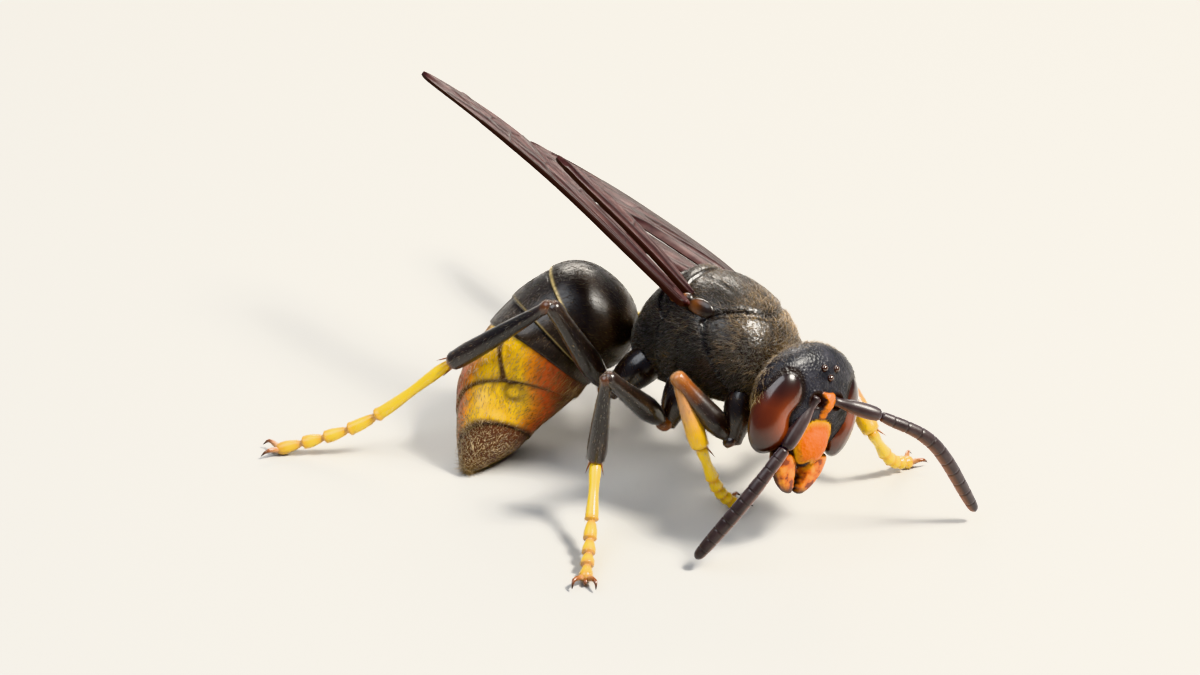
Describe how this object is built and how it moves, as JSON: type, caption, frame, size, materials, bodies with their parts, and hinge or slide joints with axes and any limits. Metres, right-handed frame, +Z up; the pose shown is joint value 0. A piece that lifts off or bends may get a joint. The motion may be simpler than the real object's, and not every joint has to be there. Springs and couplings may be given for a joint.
{
  "type": "yellow-legged hornet",
  "caption": "Life-size still model of a worker hornet on its feet, gaster curled under and smoky wings raised behind, with a dark body, orange face and yellow feet.",
  "frame": {"origin": "on the floor, at the middle of the bottom of the model's box", "axes": "+X towards the head, +Y towards the hornet's left, +Z up"},
  "size_m": [0.0268, 0.021, 0.0119],
  "materials": {
    "cuticle_black": "black-brown cuticle under short velvety hair",
    "head_black": "satin black cuticle of the top and back of the head",
    "eye_brown": "glossy dark reddish-brown compound eye",
    "face_orange": "bright orange cuticle with a satin gloss",
    "antenna_brown": "dark brown, orange-brown beneath",
    "wing_smoke": "smoky brown translucent membrane with raised veins",
    "gaster_dark": "satin black-brown cuticle with a thin pale rear line",
    "gaster_orange": "satin yellow-orange cuticle with dark lines",
    "gaster_tip": "brown-red cuticle under golden hair",
    "leg_dark": "glossy black-brown leg cuticle",
    "leg_yellow": "bright yellow leg cuticle"
  },
  "bodies": {
    "root": {"head": "head_black", "left_eye": "eye_brown", "right_eye": "eye_brown", "left_mandible": "face_orange", "right_mandible": "face_orange", "left_antenna_scape": "antenna_brown", "left_antenna_flagellum": "antenna_brown", "left_antenna_tip": "antenna_brown", "right_antenna_scape": "antenna_brown", "right_antenna_flagellum": "antenna_brown", "right_antenna_tip": "antenna_brown", "pronotum": "cuticle_black", "mesothorax": "cuticle_black", "propodeum": "cuticle_black", "gaster_1": "gaster_dark", "gaster_2": "gaster_dark", "gaster_3": "gaster_dark", "gaster_4": "gaster_orange", "gaster_5": "gaster_orange", "gaster_6": "gaster_tip", "left_forewing": "wing_smoke", "left_hindwing": "wing_smoke", "right_forewing": "wing_smoke", "right_hindwing": "wing_smoke", "left_front_coxa": "leg_dark", "left_front_femur": "leg_dark", "left_front_tibia": "leg_yellow", "left_front_tarsus": "leg_yellow", "left_middle_coxa": "leg_dark", "left_middle_femur": "leg_dark", "left_middle_tibia": "leg_dark", "left_middle_tarsus": "leg_yellow", "left_hind_coxa": "leg_dark", "left_hind_femur": "leg_dark", "left_hind_tibia": "leg_dark", "left_hind_tarsus": "leg_yellow", "right_front_coxa": "leg_dark", "right_front_femur": "leg_dark", "right_front_tibia": "leg_yellow", "right_front_tarsus": "leg_yellow", "right_middle_coxa": "leg_dark", "right_middle_femur": "leg_dark", "right_middle_tibia": "leg_dark", "right_middle_tarsus": "leg_yellow", "right_hind_coxa": "leg_dark", "right_hind_femur": "leg_dark", "right_hind_tibia": "leg_dark", "right_hind_tarsus": "leg_yellow"}
  },
  "joints": []
}
